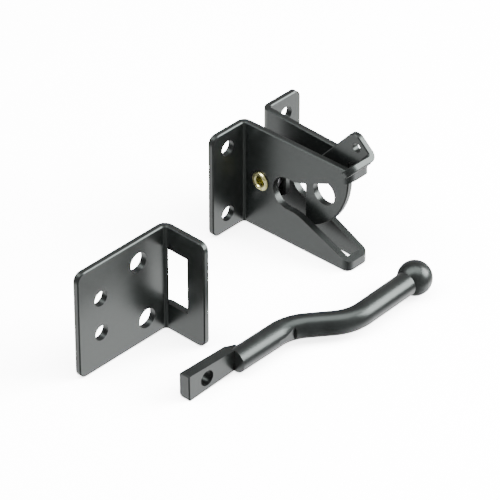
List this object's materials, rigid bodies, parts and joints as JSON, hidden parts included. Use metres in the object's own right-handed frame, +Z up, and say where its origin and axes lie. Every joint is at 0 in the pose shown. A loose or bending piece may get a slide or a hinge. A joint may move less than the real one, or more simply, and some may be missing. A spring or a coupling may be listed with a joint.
{
  "type": "gate latch",
  "caption": "Folded steel gate latch with a gravity pawl in a V-shaped mouth, a slotted guide bracket and a jogged strike bar with a drilled tongue and a ball end.",
  "frame": {"origin": "centre of the four post screws, on the face that lies against the post", "axes": "+X out from the post towards the jaw tips, +Y across the latch plates away from the thumb flange, +Z up"},
  "size_m": [0.0969, 0.1606, 0.0654],
  "materials": {
    "coat": "satin black coat",
    "rivet": "yellow zinc plate",
    "spacers": "plain"
  },
  "bodies": {
    "latch": {"latch_body": "coat", "pivot_rivet": "rivet", "pivot_spacers": "spacers", "guide_bracket": "coat", "strike_bar": "coat"},
    "pawl": {"pawl": "coat"}
  },
  "joints": [
    {"name": "pawl_pivot", "type": "hinge", "parent": "latch", "child": "pawl", "pos_m": [0.0123, 0, -0.0005], "axis": [0, -1, 0], "range_deg": [0, 55]}
  ]
}
